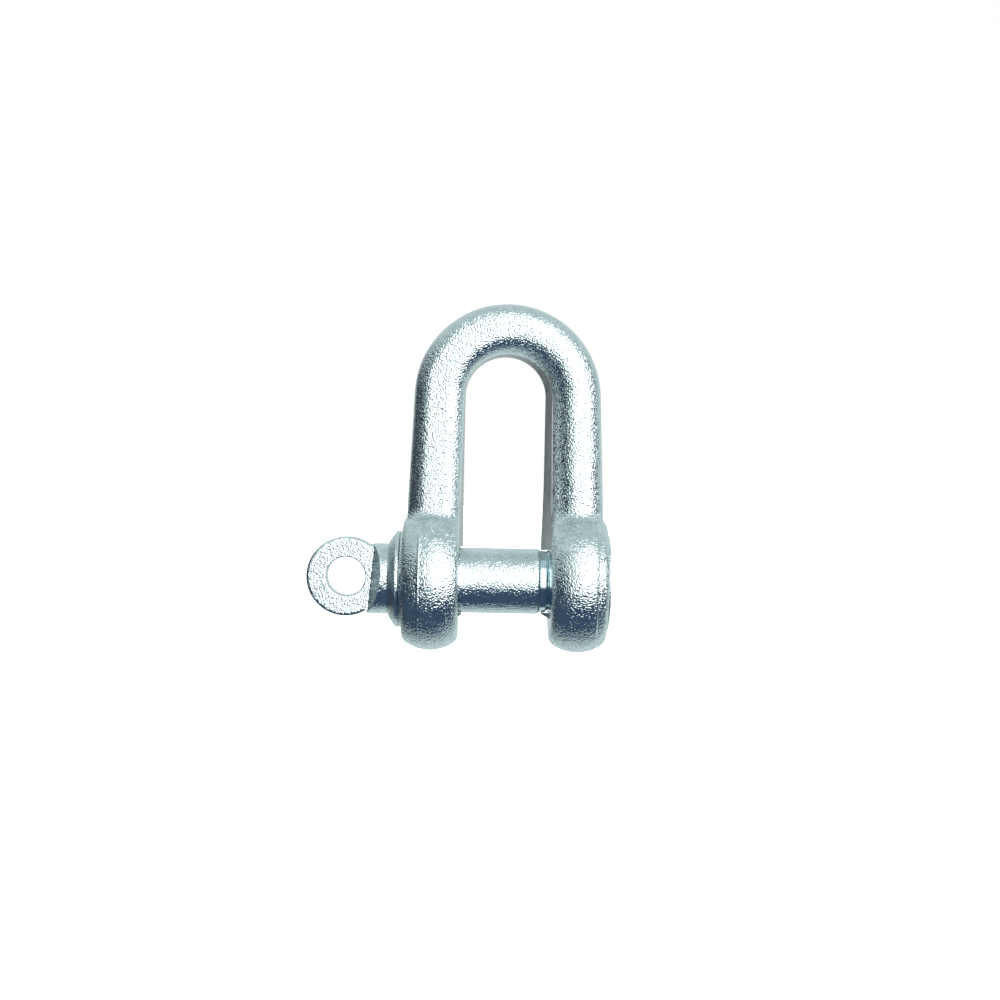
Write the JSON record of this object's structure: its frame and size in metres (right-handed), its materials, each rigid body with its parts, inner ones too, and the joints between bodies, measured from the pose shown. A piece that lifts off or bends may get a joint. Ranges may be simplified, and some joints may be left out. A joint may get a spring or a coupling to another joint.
{
  "type": "d shackle",
  "caption": "Forged D shackle: a U of round bar with two eared ends, closed by a screw pin that has a collar and a flat eye.",
  "frame": {"origin": "on the pin's axis, midway between the two ears", "axes": "+X along the pin from its eye towards its thread, +Z from the pin up to the crown of the bow, +Y across the bar"},
  "size_m": [0.0762, 0.0356, 0.0878],
  "materials": {
    "zinc_forging": "shot-blasted forging under thin bluish bright zinc plating",
    "zinc_pin": "blasted forging with smooth rolled thread, under thin bluish bright zinc plating"
  },
  "bodies": {
    "body": {"shackle_body": "zinc_forging"},
    "pin": {"screw_pin": "zinc_pin"}
  },
  "joints": [
    {"name": "pin_withdraw", "type": "slide", "parent": "body", "child": "pin", "axis": [-1, 0, 0], "range_m": [0, 0.078]}
  ]
}
